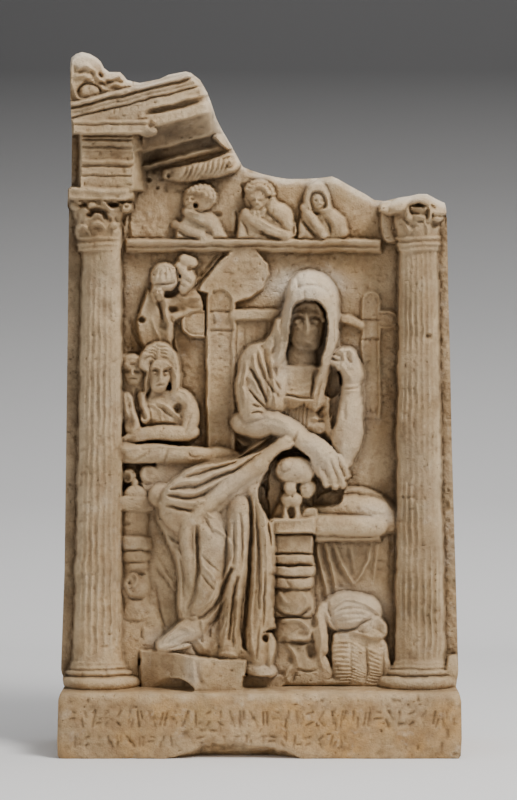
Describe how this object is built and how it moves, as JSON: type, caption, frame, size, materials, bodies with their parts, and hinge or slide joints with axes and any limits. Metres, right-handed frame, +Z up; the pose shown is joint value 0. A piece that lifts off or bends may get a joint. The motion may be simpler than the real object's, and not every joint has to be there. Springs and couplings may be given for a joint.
{
  "type": "carved stone stele",
  "caption": "Upright marble relief slab on its own plinth: a seated veiled woman between fluted columns, broken along the top.",
  "frame": {"origin": "centre of the underside of the plinth", "axes": "+Z up, the carved front faces -Y, +X to the right as seen from the front"},
  "size_m": [0.406, 0.14, 0.707],
  "materials": {
    "marble": "weathered warm beige marble, matt, with orange-brown patina and darker crevices"
  },
  "bodies": {
    "root": {"stele": "marble"}
  },
  "joints": []
}
